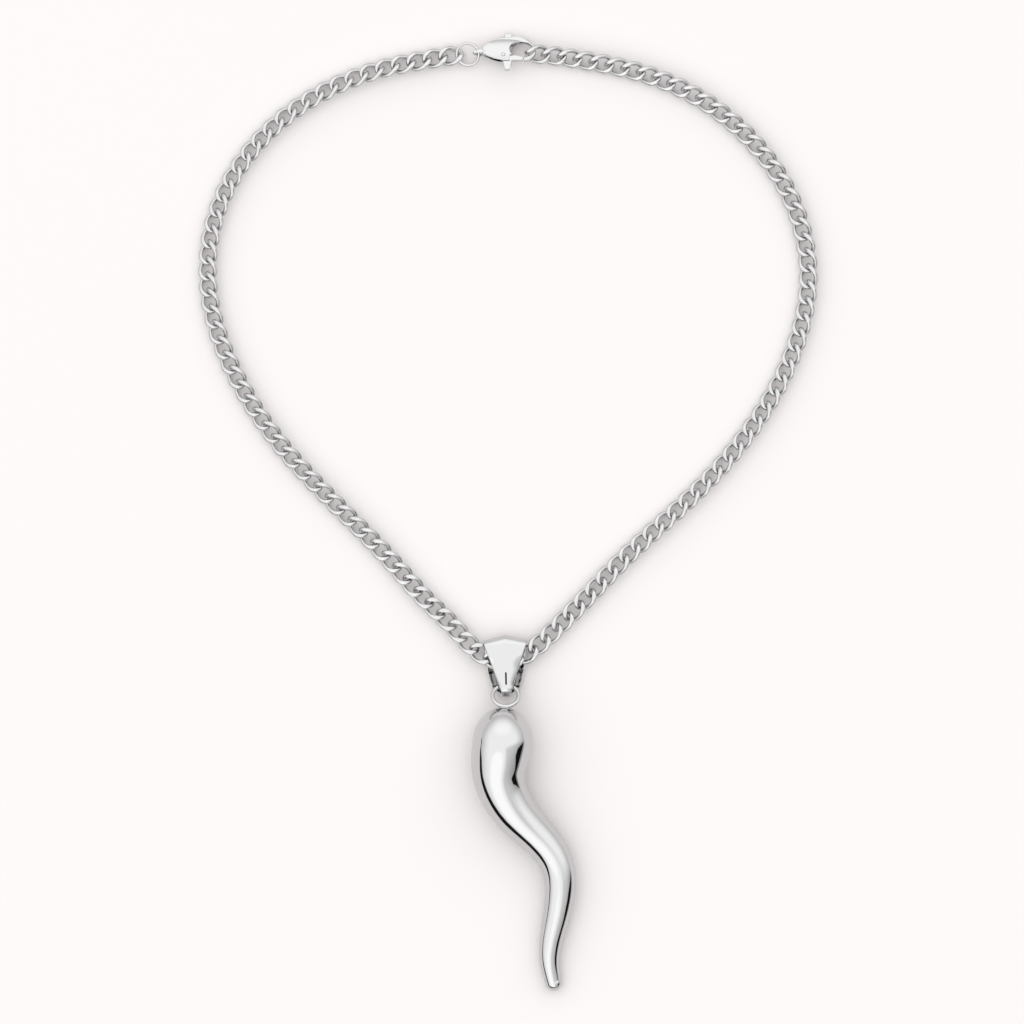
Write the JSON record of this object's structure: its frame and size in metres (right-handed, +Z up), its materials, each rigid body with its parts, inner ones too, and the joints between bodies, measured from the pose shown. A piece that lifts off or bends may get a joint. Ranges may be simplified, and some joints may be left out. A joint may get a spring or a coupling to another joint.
{
  "type": "horn pendant necklace",
  "caption": "Curb chain necklace with a twisted horn pendant on a folded bail, lying flat, its lobster clasp shut.",
  "frame": {"origin": "middle of the necklace's outline, on the surface that it lies on", "axes": "+X to the right and +Y from the pendant towards the clasp, as the necklace is seen from above; +Z up from the surface"},
  "size_m": [0.152, 0.2347, 0.0154],
  "materials": {
    "horn_metal": "polished stainless steel",
    "bail_metal": "polished stainless steel",
    "chain_metal": "polished stainless steel",
    "clasp_metal": "polished stainless steel"
  },
  "bodies": {
    "necklace": {"horn": "horn_metal", "bail": "bail_metal", "curb_chain": "chain_metal", "jump_ring": "chain_metal", "clasp_body": "clasp_metal", "clasp_pin": "clasp_metal"},
    "lever": {"clasp_lever": "clasp_metal"}
  },
  "joints": [
    {"name": "clasp_lever_hinge", "type": "hinge", "parent": "necklace", "child": "lever", "pos_m": [-0.00123, 0.11153, 0.0029], "axis": [0, 0.342, 0.9397], "range_deg": [0, 25], "stiffness_Nm_per_rad": 0.002, "springref_deg": -17.19}
  ]
}
